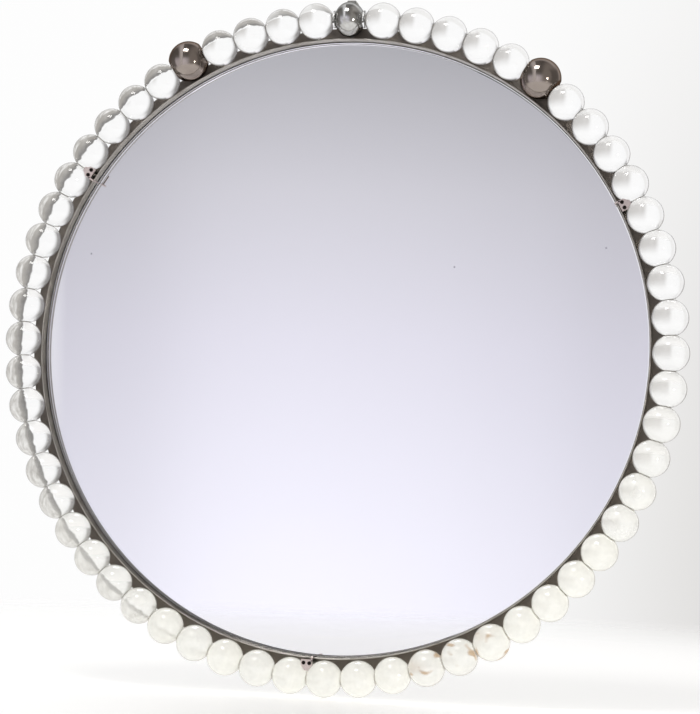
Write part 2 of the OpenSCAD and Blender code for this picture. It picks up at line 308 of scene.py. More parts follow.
# copies a shape to places round the ring, clockwise from the top
def buildRingTree():
    tree = bpy.data.node_groups.new("copiesRoundTheRing", "GeometryNodeTree")
    face = tree.interface
    sockets = {}
    for name, kind in (("Geometry", "Geometry"), ("Count", "Int"), ("First place", "Float"),
                       ("Places apart", "Float"), ("Places in all", "Float"), ("Radius", "Float"),
                       ("Height", "Float"), ("Seed", "Int")):
        sockets[name] = face.new_socket(name=name, in_out="INPUT", socket_type="NodeSocket" + kind).identifier
    face.new_socket(name="Geometry", in_out="OUTPUT", socket_type="NodeSocketGeometry")
    given = addNode(tree, "NodeGroupInput").outputs
    index = addNode(tree, "GeometryNodeInputIndex").outputs[0]
    steps = addNode(tree, "ShaderNodeMath", {"operation": "MULTIPLY_ADD"},
                    {0: index, 1: given["Places apart"], 2: given["First place"]}).outputs[0]
    share = mathNode(tree, "DIVIDE", steps, given["Places in all"])
    angle = mathNode(tree, "MULTIPLY", share, -2 * math.pi)
    turn = addNode(tree, "ShaderNodeCombineXYZ", {}, {"Z": angle}).outputs[0]
    reach = addNode(tree, "ShaderNodeCombineXYZ", {}, {"Y": given["Radius"], "Z": given["Height"]}).outputs[0]
    spot = addNode(tree, "ShaderNodeVectorRotate", {"rotation_type": "Z_AXIS"},
                   {"Vector": reach, "Angle": angle}).outputs[0]
    points = addNode(tree, "GeometryNodeMeshLine", {},
                     {"Count": given["Count"], "Offset": (0, 0, 0)}).outputs[0]
    placed = addNode(tree, "GeometryNodeSetPosition", {}, {"Geometry": points, "Position": spot}).outputs[0]
    copies = addNode(tree, "GeometryNodeInstanceOnPoints", {},
                     {"Points": placed, "Instance": given["Geometry"], "Rotation": turn}).outputs[0]
    chance = addNode(tree, "FunctionNodeRandomValue", {"data_type": "FLOAT"}, {"Seed": given["Seed"]})
    marked = addNode(tree, "GeometryNodeStoreNamedAttribute", {"data_type": "FLOAT", "domain": "INSTANCE"},
                     {"Geometry": copies, "Name": "chance", "Value": chance.outputs[1]}).outputs[0]
    numbered = addNode(tree, "GeometryNodeStoreNamedAttribute", {"data_type": "FLOAT", "domain": "INSTANCE"},
                       {"Geometry": marked, "Name": "place", "Value": steps}).outputs[0]
    solid = addNode(tree, "GeometryNodeRealizeInstances", {}, {"Geometry": numbered}).outputs[0]
    addNode(tree, "NodeGroupOutput", {}, {"Geometry": solid})
    return tree, sockets


ringTree, ringSockets = buildRingTree()


def copyRound(mesh, count, first, apart=1.0, placesInAll=None, radius=None, height=None, seed=1):
    carrier = bpy.data.objects.new("carrier", mesh)
    scene.collection.objects.link(carrier)
    modifier = carrier.modifiers.new("copies", "NODES")
    modifier.node_group = ringTree
    values = {
        "Count": count,
        "First place": float(first),
        "Places apart": float(apart),
        "Places in all": float(placesInAll or ring["places"]),
        "Radius": ringRadius if radius is None else radius,
        "Height": ballHeight if height is None else height,
        "Seed": seed,
    }
    for name, value in values.items():
        modifier[ringSockets[name]] = value
    graph = bpy.context.evaluated_depsgraph_get()
    result = bpy.data.meshes.new_from_object(carrier.evaluated_get(graph))
    bpy.data.objects.remove(carrier)
    return result


# stands a mesh up from the flat and hands it to its body
def addPiece(name, mesh, material, replaced, body="mirror"):
    mesh.transform(standUp)
    mesh.name = name
    mesh.materials.clear()
    mesh.materials.append(material)
    piece = bpy.data.objects.new(name, mesh)
    scene.collection.objects.link(piece)
    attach(piece, body)
    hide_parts(*replaced)


print("stage 1: camera")
view = {
    "location": (0.3050, -1.4218, -0.1047),
    "turn": (93.871, -2.194, 11.714),     # degrees about x, y and z
    "lens": 106.87,
    "clipStart": 0.05,
}
camera = bpy.data.cameras.new("camera")
camera.lens = view["lens"]
camera.clip_start = view["clipStart"]
cameraObject = bpy.data.objects.new("camera", camera)
cameraObject.location = view["location"]
cameraObject.rotation_euler = [math.radians(angle) for angle in view["turn"]]
scene.collection.objects.link(cameraObject)
scene.camera = cameraObject


print("stage 2: materials")
# polished soda-lime glass: clear, with hand-polished ripples; the balls round the lower part of the ring are
# made cloudy, and their cloudy parts glow with painted light
ballLook = {
    "tint": "#ffffff", "roughness": 0.015, "rippleSize": 9 * mm, "rippleDepth": 0.05 * mm,
    "stain": "#b07f3c", "stainMost": 0.9, "stainSize": 9 * mm, "stainFrom": 24.5, "stainTo": 27.5,
    "cloud": "#f4f3e9", "cloudMost": 0.42, "wispSize": 14 * mm, "paintedGlow": 0.32,
    "cloudFrom": 12, "cloudFull": 23, "cloudUntil": 33, "cloudTo": 43,      # places round the ring
    "outline": "#7d766f", "paintedEdgeShadeMost": 0.7,
}
ballGlass, tree, shader, place = newMaterial("polishedSodaLimeGlass", ballLook["tint"], ballLook["roughness"])
makeClear(shader, share=1.0, index=1.5)
ripple = noiseAt(tree, place, ballLook["rippleSize"], detail=1.0)
addBump(tree, shader, ripple, ballLook["rippleDepth"], strength=0.6)
number = addNode(tree, "ShaderNodeAttribute", {"attribute_name": "place"}).outputs["Fac"]
after = spanned(tree, number, ballLook["stainFrom"] - 0.1, ballLook["stainFrom"], 0, 1)
before = spanned(tree, number, ballLook["stainTo"], ballLook["stainTo"] + 0.1, 1, 0)
blotches = noiseAt(tree, place, ballLook["stainSize"], detail=0.5, stretch=(1, 1, 1.6))
patch = spanned(tree, blotches, 0.6, 0.76, 0, ballLook["stainMost"], True)
stained = mathNode(tree, "MULTIPLY", mathNode(tree, "MULTIPLY", after, before), patch)
rising = spanned(tree, number, ballLook["cloudFrom"], ballLook["cloudFull"], 0, ballLook["cloudMost"], True)
falling = spanned(tree, number, ballLook["cloudUntil"], ballLook["cloudTo"], 1, 0, True)
wisps = spanned(tree, noiseAt(tree, place, ballLook["wispSize"]), 0.3, 0.7, 0.75, 1.15)
chance = addNode(tree, "ShaderNodeAttribute", {"attribute_name": "chance"}).outputs["Fac"]
cloudAndPaintedGlow = mathNode(tree, "MULTIPLY", mathNode(tree, "MULTIPLY", rising, falling), wisps)
cloudAndPaintedGlow = mathNode(tree, "MULTIPLY", cloudAndPaintedGlow, spanned(tree, chance, 0, 1, 0.8, 1.15))
tree.links.new(mathNode(tree, "SUBTRACT", 1.0, cloudAndPaintedGlow), shader.inputs["Transmission Weight"])
# painted light: the cloudy parts glow in the cloud colour, so that the lower balls read milky white
shader.inputs["Emission Color"].default_value = linearColor(ballLook["cloud"])
tree.links.new(mathNode(tree, "MULTIPLY", cloudAndPaintedGlow, ballLook["paintedGlow"]), shader.inputs["Emission Strength"])
shade = mixedColor(tree, cloudAndPaintedGlow, linearColor(ballLook["tint"]), linearColor(ballLook["cloud"]))
# painted shade: the base colour turns grey towards the edges of each ball, where it faces away
facing = addNode(tree, "ShaderNodeLayerWeight", {}, {"Blend": 0.5}).outputs["Facing"]
outline = spanned(tree, facing, 0.6, 0.85, 0, ballLook["paintedEdgeShadeMost"], True)
shade = mixedColor(tree, outline, shade, linearColor(ballLook["outline"]))
tree.links.new(mixedColor(tree, stained, shade, linearColor(ballLook["stain"])), shader.inputs["Base Color"])

# clear acrylic, a little duller than the glass
clearAcrylic, tree, shader, place = newMaterial("clearAcrylic", "#f2f6f4", roughness=0.05)
makeClear(shader, share=1.0, index=1.49)
addBump(tree, shader, noiseAt(tree, place, size=1.2 * mm), depth=0.01 * mm)

# natural nylon: pale, cloudy, lets light through
cloudyNylon, tree, shader, place = newMaterial("cloudyNylon", "#e6e2d8", roughness=0.45)
makeClear(shader, share=0.75, index=1.53)
cloud = noiseAt(tree, place, size=2 * mm)
shadeBetween(tree, shader, cloud, "#efece4", "#d9d3c6")

# polished black-nickel plate over brass: dark warm mirror with faint buffing marks
blackNickel, tree, shader, place = newMaterial("polishedBlackNickel", "#8a7d75", roughness=0.09, metallic=1.0)
shader.inputs["Specular Tint"].default_value = linearColor("#857a73")
buffed = noiseAt(tree, place, size=0.5 * mm, detail=4.0, stretch=(1, 8, 1))
roughBetween(tree, shader, buffed, least=0.06, most=0.15)
cloud = noiseAt(tree, place, size=9 * mm)
shadeBetween(tree, shader, cloud, "#958a84", "#aaa099")
addBump(tree, shader, noiseAt(tree, place, size=4 * mm, detail=2.0), depth=0.03 * mm)

# bright silver plate, polished, with light tarnish in patches
silverPlate, tree, shader, place = newMaterial("polishedSilverPlate", "#c9c9c9", roughness=0.08, metallic=1.0)
shader.inputs["Specular Tint"].default_value = linearColor("#9a9a9a")
tarnish = noiseAt(tree, place, size=5 * mm)
shadeBetween(tree, shader, spanned(tree, tarnish, 0.4, 0.7, 0, 1), "#cfcfce", "#a8a6a2")
roughBetween(tree, shader, tarnish, least=0.05, most=0.2, low=0.35, high=0.7)

# rose-toned nickel, worn to an uneven satin
roseNickel, tree, shader, place = newMaterial("satinRoseNickel", "#d6c8c3", roughness=0.3, metallic=1.0)
wear = noiseAt(tree, place, size=1.5 * mm, detail=5.0)
roughBetween(tree, shader, wear, least=0.22, most=0.42)
addBump(tree, shader, wear, depth=0.03 * mm)

# chemically blackened steel: near black, slightly oily
blackedSteel, tree, shader, place = newMaterial("blackenedSteel", "#2b2523", roughness=0.38, metallic=1.0)
addBump(tree, shader, noiseAt(tree, place, size=0.4 * mm, detail=4.0), depth=0.02 * mm)

# silver coat behind glass: cold and bright, with a few small dark specks
silverCoat, tree, shader, place = newMaterial("silverMirrorCoat", "#f6f6f8", roughness=0.0, metallic=1.0)
axes = addNode(tree, "ShaderNodeSeparateXYZ", {}, {"Vector": place}).outputs
onFace = addNode(tree, "ShaderNodeCombineXYZ", {}, {"X": axes["X"], "Y": axes["Z"]}).outputs[0]
speckLook = {"apart": 90 * mm, "core": 0.004, "edge": 0.01, "most": 0.6}      # core and edge in cells
speckCells = addNode(tree, "ShaderNodeTexVoronoi", {"voronoi_dimensions": "2D"},
                     {"Vector": onFace, "Scale": 1 / speckLook["apart"]}).outputs
cellChance = addNode(tree, "ShaderNodeSeparateColor", {}, {"Color": speckCells["Color"]}).outputs[0]
few = spanned(tree, cellChance, 0.7, 0.72, 0, speckLook["most"])
speck = spanned(tree, speckCells["Distance"], speckLook["core"], speckLook["edge"], 1, 0)
shadeBetween(tree, shader, mathNode(tree, "MULTIPLY", speck, few), "#f6f6f8", "#8d8d94")

# float glass, with a wiped film that only just dulls it
floatGlass, tree, shader, place = newMaterial("floatGlass", "#fafafb", roughness=0.0)
makeClear(shader, share=1.0, index=1.52)
wiped = noiseAt(tree, place, size=60 * mm, detail=4.0, stretch=(1, 1, 2.5))
roughBetween(tree, shader, wiped, least=0.0, most=0.035, low=0.45, high=0.8)

# satin stainless hoop, drawn along its length, so the grain runs round the mirror
rimSteel, tree, shader, place = newMaterial("satinStainlessSteel", "#b7b3ad", roughness=0.34, metallic=1.0)
grain = noiseAt(tree, place, size=0.5 * mm, detail=3.0, stretch=(0.3, 1, 0.3))
roughBetween(tree, shader, grain, least=0.26, most=0.42)
spots = noiseAt(tree, place, size=14 * mm, detail=4.0)
shadeBetween(tree, shader, spanned(tree, spots, 0.5, 0.75, 0, 1), "#b7b3ad", "#928b83")
addBump(tree, shader, grain, depth=0.01 * mm)

# taupe powder coat on steel sheet: fine orange peel, dust in the film
powderCoat, tree, shader, place = newMaterial("taupePowderCoat", "#5b534c", roughness=0.5)
peel = noiseAt(tree, place, size=0.9 * mm, detail=2.0)
cloud = noiseAt(tree, place, size=35 * mm, detail=5.0)
shadeBetween(tree, shader, cloud, "#6a625b", "#80776e")
roughBetween(tree, shader, cloud, least=0.42, most=0.6)
addBump(tree, shader, peel, depth=0.04 * mm, strength=0.7)

# bright zinc on mild steel, with the faint blue and straw of the passivation
zincPlate, tree, shader, place = newMaterial("zincPlatedSteel", "#9d9b96", roughness=0.36, metallic=1.0)
cloud = noiseAt(tree, place, size=6 * mm, detail=4.0)
shadeBetween(tree, shader, cloud, "#8f949a", "#aaa391")
rolled = noiseAt(tree, place, size=0.6 * mm, detail=3.0, stretch=(1, 1, 0.12))
roughBetween(tree, shader, rolled, least=0.28, most=0.46)
addBump(tree, shader, rolled, depth=0.01 * mm)

# drawn wire: fine lines along it
drawnWire, tree, shader, place = newMaterial("drawnSteelWire", "#a5a39e", roughness=0.28, metallic=1.0)
lines = noiseAt(tree, place, size=0.5 * mm, detail=3.0, stretch=(0.2, 1, 0.2))
roughBetween(tree, shader, lines, least=0.2, most=0.38)
addBump(tree, shader, lines, depth=0.01 * mm)

# soft aluminium rivets: pale, hammered
hammeredAluminium, tree, shader, place = newMaterial("hammeredAluminium", "#bdbab5", 0.4, metallic=1.0)
addBump(tree, shader, noiseAt(tree, place, size=1.1 * mm, detail=2.0), depth=0.06 * mm)

# turned brass nuts, dulled by handling
turnedBrass, tree, shader, place = newMaterial("turnedBrass", "#b39a62", roughness=0.32, metallic=1.0)
cloud = noiseAt(tree, place, size=1.5 * mm, detail=4.0)
shadeBetween(tree, shader, cloud, "#b89f66", "#8f7a4a")

# moulded rubber with a fine spark-eroded skin and a grey bloom
mouldedRubber, tree, shader, place = newMaterial("mouldedRubber", "#262524", roughness=0.72)
bloom = noiseAt(tree, place, size=5 * mm, detail=4.0)
shadeBetween(tree, shader, spanned(tree, bloom, 0.45, 0.8, 0, 1), "#232221", "#3c3a38")
addBump(tree, shader, noiseAt(tree, place, size=0.5 * mm, detail=2.0), depth=0.04 * mm)

# pressed wool felt: fuzzy, dark green-grey
woolFelt, tree, shader, place = newMaterial("pressedWoolFelt", "#3d4640", roughness=0.95)
shader.inputs["Sheen Weight"].default_value = 0.4
fibre = noiseAt(tree, place, size=0.7 * mm, detail=6.0)
shadeBetween(tree, shader, fibre, "#333b36", "#4a554d")
addBump(tree, shader, fibre, depth=0.15 * mm)


print("stage 3: glass balls")
ballMake = {"around": 64, "along": 34, "edgeBreak": 0.25 * mm}


# a ball on the rod, cut by the two slanting end planes; x runs along the rod, y outwards
def ovalBall(name, diameter, halfAxis, lift=(0, 0), around=None):
    def build(shape):
        count = ballMake["along"]
        profile = [(0, -halfAxis)]
        for k in range(1, count):
            angle = math.pi * k / count
            profile.append((diameter / 2 * math.sin(angle), -halfAxis * math.cos(angle)))
        profile.append((0, halfAxis))
        turned(shape, profile, around or ballMake["around"])
        bmesh.ops.transform(shape, matrix=Matrix.Rotation(math.radians(90), 4, "Y"), verts=shape.verts)
        bmesh.ops.translate(shape, vec=(0, lift[0], lift[1]), verts=shape.verts)
        for side in (-1, 1):
            normal = Matrix.Rotation(-side * halfPitch, 3, "Z") @ Vector((side, 0, 0))
            everything = list(shape.verts) + list(shape.edges) + list(shape.faces)
            bmesh.ops.bisect_plane(shape, geom=everything, plane_co=normal * ring["ballLength"] / 2,
                                   plane_no=normal, clear_outer=True, dist=tiny)
            rim = [e for e in shape.edges if len(e.link_faces) == 1]
            bmesh.ops.contextual_create(shape, geom=rim)
            bmesh.ops.bevel(shape, geom=rim, offset=ballMake["edgeBreak"], segments=2, affect="EDGES")
        sharpen(shape, degrees=28)
    return meshFrom(build, name)


# piece, CAD node, first and last place
runs = [
    ("ballsTopRight", "balls_top_right", 1, 5), ("ballsUpperRight", "balls_upper_right", 7, 10),
    ("ballsRight", "balls_right", 11, 20), ("ballsLowerRight", "balls_lower_right", 21, 30),
    ("ballsLowerLeft", "balls_lower_left", 31, 40), ("ballsLeft", "balls_left", 41, 50),
    ("ballsUpperLeft", "balls_upper_left", 51, 54), ("ballsTopLeft", "balls_top_left", 56, 59),
]
for seed, (name, node, first, last) in enumerate(runs):
    glassBall = ovalBall("glassBall", ring["ballDiameter"], ring["ballDiameter"] / 2)
    balls = copyRound(glassBall, last - first + 1, first, seed=seed)
    addPiece(name, balls, ballGlass, [node])

# washers in the gaps, and the stretches of rod that can be told apart from the balls
gapPart = {"washerDiameter": 8 * mm, "washerThickness": 0.4 * mm, "washerEdge": 0.1 * mm, "bore": 3.1 * mm,
           "rod": 3 * mm, "rodShow": 0.5 * mm}
acrossRod = Matrix.Rotation(math.radians(90), 4, "Y")
outer, inner, half = gapPart["washerDiameter"] / 2, gapPart["bore"] / 2, gapPart["washerThickness"] / 2
edge = gapPart["washerEdge"]
washerProfile = [(inner, -half), (outer - edge, -half), (outer, -half + edge),
                 (outer, half - edge), (outer - edge, half), (inner, half)]
for name, node, first in (("washersRight", "washers_right", 0.5), ("washersLeft", "washers_left", 30.5)):
    washer = turnedMesh("washer", washerProfile, 32, True, acrossRod)
    washers = copyRound(washer, ring["places"] // 2, first)
    addPiece(name, washers, cloudyNylon, [node])
rodProfile = rodPoints(gapPart["rod"] / 2, -gapPart["rodShow"] / 2, gapPart["rodShow"] / 2)
rodBit = turnedMesh("rodBit", rodProfile, 24, False, acrossRod)
addPiece("rodInTheGaps", copyRound(rodBit, ring["places"], 0.5), clearAcrylic,
         ["rod_upper", "rod_lower"])


print("stage 4: metal balls")
couplingBall = {"diameter": 28 * mm, "halfAxis": 14 * mm, "out": 1.5 * mm, "around": 96}
grubScrew = {"diameter": 3 * mm, "offset": 5.5 * mm, "fit": 0.05 * mm, "length": 5 * mm, "edge": 0.3 * mm,
             "pointWidth": 0.4 * mm, "pointLength": 0.5 * mm, "holeFrom": -20 * mm, "holeTo": -4 * mm,
             "hexRadius": 0.9 * mm, "hexFrom": -7.5 * mm, "hexTo": -5 * mm}
spread = ring["plateInset"] + couplingBall["out"]
couplingLift = (ring["plateThickness"] + ring["seatGap"] - ballHeight
                + math.sqrt((couplingBall["diameter"] / 2) ** 2 - spread ** 2))
holePoints = rodPoints(grubScrew["diameter"] / 2, grubScrew["holeFrom"], grubScrew["holeTo"])
grubHole = turnedMesh("grubHole", holePoints, 32)
for side, placeNumber in ring["coupling"].items():
    metal = ovalBall("metalBall", couplingBall["diameter"], couplingBall["halfAxis"],
                     (couplingBall["out"], couplingLift), couplingBall["around"])
    for way in (-1, 1):
        metal = cutOut(metal, placedCopy(grubHole, way * grubScrew["offset"], 0))
    addPiece("couplingBall" + side.capitalize(), copyRound(metal, 1, placeNumber), blackNickel,
             ["coupling_ball_" + side])

# the screws' points rest behind the rod
pointEnd = -gapPart["rod"] / 2 - grubScrew["fit"]
tailEnd = pointEnd - grubScrew["length"]
grubRadius = grubScrew["diameter"] / 2 - grubScrew["fit"]
grubProfile = [(0, tailEnd), (grubRadius - grubScrew["edge"], tailEnd),
               (grubRadius, tailEnd + grubScrew["edge"]), (grubRadius, pointEnd - grubScrew["pointLength"]),
               (grubRadius - grubScrew["pointWidth"], pointEnd), (0, pointEnd)]
hexPoints = rodPoints(grubScrew["hexRadius"], grubScrew["hexFrom"], grubScrew["hexTo"])
grubHex = turnedMesh("grubHex", hexPoints, 6)
grub = cutOut(turnedMesh("grub", grubProfile, 32), grubHex)
grubPair = joined("grubPair", [placedCopy(grub, way * grubScrew["offset"], 0) for way in (-1, 1)])
grubApart = ring["coupling"]["left"] - ring["coupling"]["right"]
addPiece("grubScrews", copyRound(grubPair, 2, ring["coupling"]["right"], grubApart), blackedSteel,
         ["grub_screws"])

crown = {"diameter": 24 * mm, "length": 19.2 * mm, "flat": 10 * mm, "steps": 24, "collar": 12 * mm,
         "collarGap": 0.1 * mm, "collarShort": 0.4 * mm, "collarEdge": 0.3 * mm}
crownAxis = crown["length"] / 2 / math.sqrt(1 - (crown["flat"] / crown["diameter"]) ** 2)
crownProfile = [(0, -crown["length"] / 2)]
for k in range(-crown["steps"], crown["steps"] + 1):
    height = k * crown["length"] / (2 * crown["steps"])
    crownProfile.append((crown["diameter"] / 2 * math.sqrt(1 - (height / crownAxis) ** 2), height))
crownProfile.append((0, crown["length"] / 2))
bead = turnedMesh("crown", crownProfile, 96, False, acrossRod, 25)
addPiece("crownBead", copyRound(bead, 1, 0), silverPlate, ["crown_bead"])


def collars(shape):
    start = crown["length"] / 2 + crown["collarGap"]
    end = ring["ballLength"] / 2 - crown["collarShort"]
    outer = crown["collar"] / 2
    inner = gapPart["bore"] / 2
    edge = crown["collarEdge"]
    turned(shape, [(inner, start), (outer - edge, start), (outer, start + edge),
                   (outer, end - edge), (outer - edge, end), (inner, end)], 48, True)
    bmesh.ops.transform(shape, matrix=acrossRod, verts=shape.verts)
    everything = list(shape.verts) + list(shape.edges) + list(shape.faces)
    twin = bmesh.ops.duplicate(shape, geom=everything)["geom"]
    bmesh.ops.rotate(shape, cent=(0, 0, 0), matrix=Matrix.Rotation(math.pi, 3, "Z"),
                     verts=[item for item in twin if isinstance(item, bmesh.types.BMVert)])
    sharpen(shape)


addPiece("crownCollars", copyRound(meshFrom(collars, "collars"), 1, 0), ballGlass,
         ["crown_collars"])


print("stage 5: mirror and rim")
mirror = {"glass": 4 * mm, "arris": 0.6 * mm, "silver": 0.2 * mm, "coatSink": 0.02 * mm, "felt": 1 * mm,
          "clear": 0.6 * mm, "wall": 1 * mm, "height": 12 * mm, "gap": 0.6 * mm, "flange": 9 * mm,
          "rimEdge": 0.3 * mm, "rimFillet": 0.4 * mm, "around": 360}
plateTop = ring["plateThickness"]
rimOut = ringRadius - ring["ballDiameter"] / 2 - mirror["gap"]
rimIn = rimOut - mirror["wall"]
rimTop = plateTop + mirror["height"]
flangeIn = rimOut - mirror["flange"]
glassRadius = rimIn - mirror["clear"]
silverFloor = plateTop + mirror["felt"]
glassFloor = silverFloor + mirror["silver"]
faceHeight = glassFloor + mirror["glass"]
arris = mirror["arris"]
glassProfile = [(0, glassFloor), (glassRadius - arris, glassFloor), (glassRadius, glassFloor + arris),
                (glassRadius, faceHeight - arris), (glassRadius - arris, faceHeight), (0, faceHeight)]
addPiece("mirrorGlass", turnedMesh("mirrorGlass", glassProfile, mirror["around"]), floatGlass,
         ["mirror_glass"])
# the coat's face is sunk a hair into the glass, so that the two never share a plane
coatProfile = rodPoints(glassRadius - arris, silverFloor, glassFloor + mirror["coatSink"])
addPiece("silverCoat", turnedMesh("silverCoat", coatProfile, mirror["around"]), silverCoat,
         ["silvering"])

edge, fillet, wall = mirror["rimEdge"], mirror["rimFillet"], mirror["wall"]
rimProfile = [(flangeIn, plateTop), (rimOut - edge, plateTop), (rimOut, plateTop + edge)]
rimProfile += arcPoints(rimOut - wall / 2, rimTop - wall / 2, wall / 2, 0, 180, 8)
rimProfile += arcPoints(rimIn - fillet, silverFloor + fillet, fillet, 0, -90, 4)
rimProfile += [(flangeIn, silverFloor)]
addPiece("mirrorRim", turnedMesh("mirrorRim", rimProfile, mirror["around"], True), rimSteel,
         ["mirror_rim"])


print("stage 6: clips")
clip = {"width": 7.8 * mm, "thickness": 1.2 * mm, "lift": 5.2 * mm, "edge": 0.18 * mm, "rimGap": 0.3 * mm,
        "sideGap": 0.25 * mm, "tip": 1.3 * mm, "step": 0.25 * mm, "post": 2.8 * mm, "postGap": 1.3 * mm}
claw = {"width": 1.0 * mm, "thickness": 0.6 * mm, "reach": 0.5 * mm, "bend": 1.1 * mm, "root": 1.4 * mm,
        "offGlass": 0.2 * mm}
clipBolt = {"offset": 2 * mm, "head": 2.6 * mm, "headHeight": 0.7 * mm, "shank": 1.9 * mm, "slot": 0.45 * mm,
            "past": 2.6 * mm, "turns": (35, -20)}
clipInner = rimOut + clip["rimGap"] - ringRadius
screwY = rimOut + clip["postGap"] + clip["post"] / 2 - ringRadius
besideX = ringRadius * math.sin(halfPitch)
besideY = ringRadius * math.cos(halfPitch) - ringRadius


def clipHalfWidth(y):
    reach = (ring["ballDiameter"] / 2) ** 2 - (y - besideY) ** 2 - clip["lift"] ** 2
    return min(clip["width"] / 2, besideX - math.sqrt(max(0, reach)) - clip["sideGap"])


# the plate fills the space between two balls; its claw bends over the rim on to the glass
def clipPlate(shape):
    ys = [clipInner + k * clip["step"] for k in range(60)]
    ys = [y for y in ys if y < besideY and clipHalfWidth(y) > clip["tip"]]
    outline = [(clipHalfWidth(y), y) for y in ys] + [(-clipHalfWidth(y), y) for y in reversed(ys)]
    cutSheet(shape, outline, clip["lift"], clip["lift"] + clip["thickness"], clip["edge"])
    reachTo = glassRadius - claw["reach"] - ringRadius + claw["thickness"] / 2
    lie = clip["lift"] + clip["thickness"] - claw["thickness"] / 2
    path = [(clipInner + claw["root"], lie), (clipInner, lie)]
    path += arcPoints(reachTo + claw["bend"], lie - claw["bend"], claw["bend"], 90, 180, 6)
    path += [(reachTo, faceHeight + claw["offGlass"] - ballHeight)]
    bentStrip(shape, path, (claw["width"] - clip["width"]) / 2, claw["width"], claw["thickness"])
    sharpen(shape)


for side, placeNumber in zip(("Right", "Bottom", "Left"), ring["clips"]):
    plate = meshFrom(clipPlate, "clip")
    addPiece("clip" + side, copyRound(plate, 1, placeNumber), roseNickel,
             ["clip_" + side.lower()])


# soft and slotDepth are shares of the head's height
screwMake = {"soft": 0.3, "slotDepth": 0.55, "tip": 0.3 * mm, "around": 32}


# a cheese-head screw along z with its head at the top and a slot across it
def slottedScrew(name, headRadius, headLow, headHigh, shankRadius, tail, slot):
    soft = (headHigh - headLow) * screwMake["soft"]
    tip = screwMake["tip"]
    profile = [(0, headHigh)] + arcPoints(headRadius - soft, headHigh - soft, soft, 90, 0, 4)
    profile += [(headRadius, headLow), (shankRadius, headLow), (shankRadius, tail + tip),
                (shankRadius - tip, tail), (0, tail)]
    blade = meshFrom(lambda shape: bmesh.ops.create_cube(shape, size=1.0), "blade")
    depth = (headHigh - headLow) * screwMake["slotDepth"]
    size = Matrix.Diagonal((4 * headRadius, slot, 2 * depth, 1))
    blade.transform(Matrix.Translation((0, 0, headHigh)) @ size)
    return cutOut(turnedMesh(name, profile, screwMake["around"]), blade)


headLow = clip["lift"] + clip["thickness"]
clipScrew = slottedScrew("clipScrew", clipBolt["head"] / 2, headLow, headLow + clipBolt["headHeight"],
                         clipBolt["shank"] / 2, -ballHeight - clipBolt["past"], clipBolt["slot"])
screwPair = joined("screwPair", [placedCopy(clipScrew, way * clipBolt["offset"], screwY, turn)
                                 for way, turn in zip((-1, 1), clipBolt["turns"])])
clipsApart = ring["clips"][1] - ring["clips"][0]
addPiece("clipScrews", copyRound(screwPair, 3, ring["clips"][0], clipsApart), blackedSteel,
         ["clip_screws"])


print("stage 7: rear")
rivet = {"shank": 2.5 * mm, "head": 5 * mm, "rise": 1.1 * mm, "sink": 4 * mm, "sinkDepth": 0.8 * mm,
         "around": 32, "rimCount": 12}


# set flush in front at z = top, with a domed head behind z = bottom
def domedRivet(top, bottom):
    angles = [math.radians(degrees) for degrees in range(0, 90, 15)]
    dome = [(rivet["head"] / 2 * math.cos(angle), bottom - rivet["rise"] * math.sin(angle))
            for angle in angles]
    profile = [(0, top), (rivet["sink"] / 2, top), (rivet["shank"] / 2, top - rivet["sinkDepth"]),
               (rivet["shank"] / 2, bottom)] + dome + [(0, bottom - rivet["rise"])]
    return turnedMesh("rivet", profile, rivet["around"])


# copies round the back, the first of them half a step past the top
def copyBehind(mesh, count, radius):
    return copyRound(mesh, count, 0.5, placesInAll=count, radius=radius, height=0)


rimRivet = domedRivet(plateTop + mirror["felt"], 0)
addPiece("rimRivets", copyBehind(rimRivet, rivet["rimCount"], (flangeIn + glassRadius) / 2),
         hammeredAluminium, ["rim_rivets"])

strap = {"width": 6 * mm, "thickness": 1.5 * mm, "gap": 0.7 * mm, "lip": 4 * mm, "bend": 1.5 * mm,
         "inside": 6 * mm, "rivets": (4 * mm, 12 * mm), "edge": 0.2 * mm}
strapLow = rimIn - strap["inside"]
strapHigh = ringRadius + crown["diameter"] / 2 + strap["gap"]


def strapShape(shape):
    bend = strap["bend"]
    back = -strap["thickness"] / 2
    top = strapHigh + strap["thickness"] / 2
    path = [(strapLow, back), (strapLow + 6 * mm, back), (strapHigh - 6 * mm, back)]
    path += arcPoints(top - bend, back + bend, bend, -90, 0, 8)
    path += [(top, 6 * mm), (top, ballHeight - strap["lip"])]
    bentStrip(shape, path, 0, strap["width"], strap["thickness"])
    edges = [e for e in shape.edges if e.calc_face_angle(0) > math.radians(60)]
    bmesh.ops.bevel(shape, geom=edges, offset=strap["edge"], segments=2, affect="EDGES", clamp_overlap=True)
    sharpen(shape)


addPiece("hangerStrap", meshFrom(strapShape, "strap"), zincPlate, ["hanger_strap"])
strapRivet = domedRivet(plateTop, -strap["thickness"])
strapRivets = [placedCopy(strapRivet, 0, strapLow + up) for up in strap["rivets"]]
addPiece("strapRivets", joined("strapRivets", strapRivets), hammeredAluminium,
         ["strap_rivets"])

hook = {"wire": 3 * mm, "curve": 15 * mm, "corner": 1.2 * mm, "height": 182 * mm, "keeper": 1.2 * mm,
        "fit": 0.08 * mm, "barrelWall": 1.25 * mm, "barrelSink": 0.3 * mm, "rivetX": 4.5 * mm,
        "rivetDrop": 7.5 * mm}
barrel = hook["wire"] + 2 * hook["fit"] + 2 * hook["barrelWall"]
hookDepth = -(hook["keeper"] + barrel / 2 - hook["barrelSink"])
keeperRivet = domedRivet(plateTop, -hook["keeper"])
keeperRivets = [placedCopy(keeperRivet, way * hook["rivetX"], hook["height"] - hook["rivetDrop"])
                for way in (-1, 1)]
addPiece("keeperRivets", joined("keeperRivets", keeperRivets), hammeredAluminium,
         ["keeper_rivets"])


